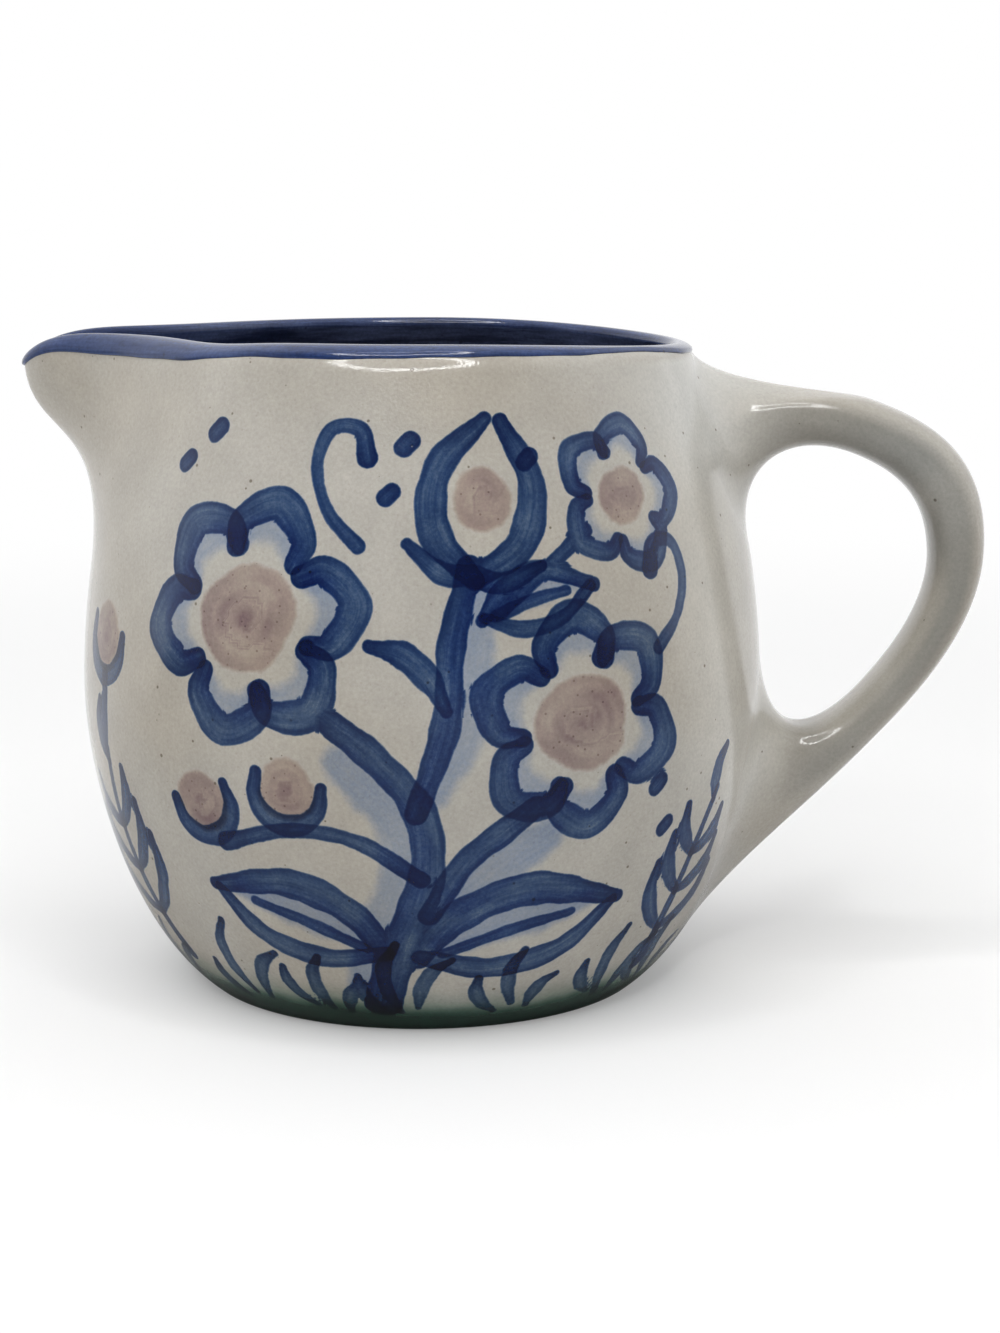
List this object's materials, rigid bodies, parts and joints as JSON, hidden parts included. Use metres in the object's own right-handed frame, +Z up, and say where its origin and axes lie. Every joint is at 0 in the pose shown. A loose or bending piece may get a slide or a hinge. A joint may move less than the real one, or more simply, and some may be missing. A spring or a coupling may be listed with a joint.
{
  "type": "stoneware cream jug",
  "caption": "Small round-bellied stoneware cream jug with a pulled spout, a pulled handle, painted blue brushwork and a blue glazed inside and lip.",
  "frame": {"origin": "middle of the foot's flat ring, on the surface that the jug stands on", "axes": "+Z up along the jug's axis, +X towards the handle, so the spout points along -X"},
  "size_m": [0.1325, 0.0936, 0.0899],
  "materials": {
    "clear_glaze": "glossy clear glaze over pale warm grey speckled stoneware, painted under the glaze in cobalt blue, pale blue wash and mauve, with a dark green wash at the foot",
    "blue_glaze": "glossy brushed-on dark blue glaze over the inside and the lip"
  },
  "bodies": {
    "root": {"jug_body": "clear_glaze", "lining_glaze": "blue_glaze", "handle": "clear_glaze"}
  },
  "joints": []
}
